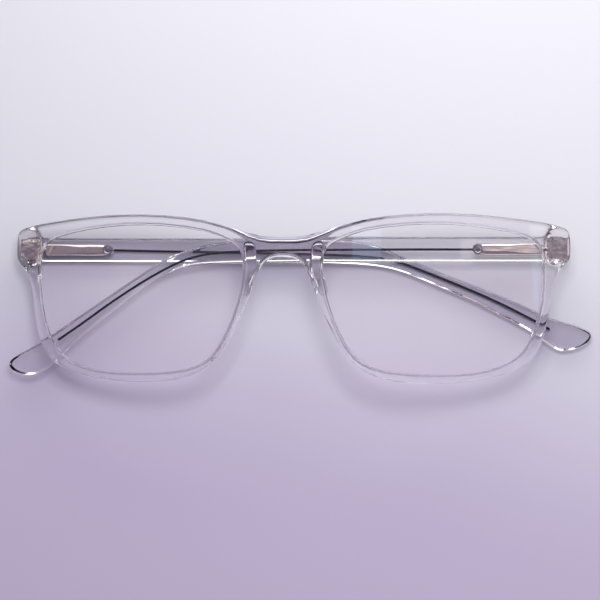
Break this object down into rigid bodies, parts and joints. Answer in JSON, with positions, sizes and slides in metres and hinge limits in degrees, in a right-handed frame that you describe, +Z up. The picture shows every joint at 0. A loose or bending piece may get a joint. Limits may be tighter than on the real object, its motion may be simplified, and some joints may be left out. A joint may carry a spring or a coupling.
{
  "type": "folding spectacles",
  "caption": "Clear full-rim spectacles, folded flat, with sprung metal hinges, wire-cored temples and lenses with a faint blue-filter coating.",
  "frame": {"origin": "bottom centre of the folded object's box; the outer temple's outer face lies on z = 0", "axes": "+X towards the wearer's left, +Y towards the wearer's up, +Z up out of the front's outer face as the folded glasses lie on a table"},
  "size_m": [0.148, 0.0418, 0.0234],
  "materials": {
    "clear_acetate": "polished clear cellulose acetate",
    "coated_lens": "clear lens with a faint blue-violet coating",
    "hinge_metal": "satin nickel silver",
    "case_metal": "polished pale rose metal",
    "core_metal": "drawn wire, dark through the acetate",
    "screw_steel": "bare steel"
  },
  "bodies": {
    "front": {"front_frame": "clear_acetate", "lens_left": "coated_lens", "lens_right": "coated_lens", "nose_pad_left": "clear_acetate", "nose_pad_right": "clear_acetate", "front_hinge_left": "hinge_metal", "front_hinge_right": "hinge_metal", "hinge_screw_left": "screw_steel", "hinge_screw_right": "screw_steel"},
    "slider_left": {"hinge_slider_left": "hinge_metal", "spring_stop_left": "screw_steel"},
    "arm_left": {"temple_left": "clear_acetate", "core_wire_left": "core_metal", "spring_case_left": "case_metal", "case_rivet_left": "case_metal", "spring_left": "screw_steel"},
    "slider_right": {"hinge_slider_right": "hinge_metal", "spring_stop_right": "screw_steel"},
    "arm_right": {"temple_right": "clear_acetate", "core_wire_right": "core_metal", "spring_case_right": "case_metal", "case_rivet_right": "case_metal", "spring_right": "screw_steel"}
  },
  "joints": [
    {"name": "open_left", "type": "hinge", "parent": "front", "child": "slider_left", "pos_m": [0.06398, 0.0128, 0.00683], "axis": [0, -1, 0], "range_deg": [0, 91.5]},
    {"name": "open_right", "type": "hinge", "parent": "front", "child": "slider_right", "pos_m": [-0.06698, 0.0128, 0.0034], "axis": [0, 1, 0], "range_deg": [0, 88.5]},
    {"name": "flex_left", "type": "slide", "parent": "slider_left", "child": "arm_left", "axis": [-1, 0, 0], "range_m": [0, 0.0015], "stiffness_N_per_m": 3000, "springref_m": -0.0005, "deforming": ["spring_left"]},
    {"name": "flex_right", "type": "slide", "parent": "slider_right", "child": "arm_right", "axis": [1, 0, 0], "range_m": [0, 0.0015], "stiffness_N_per_m": 3000, "springref_m": -0.0005, "deforming": ["spring_right"]}
  ]
}
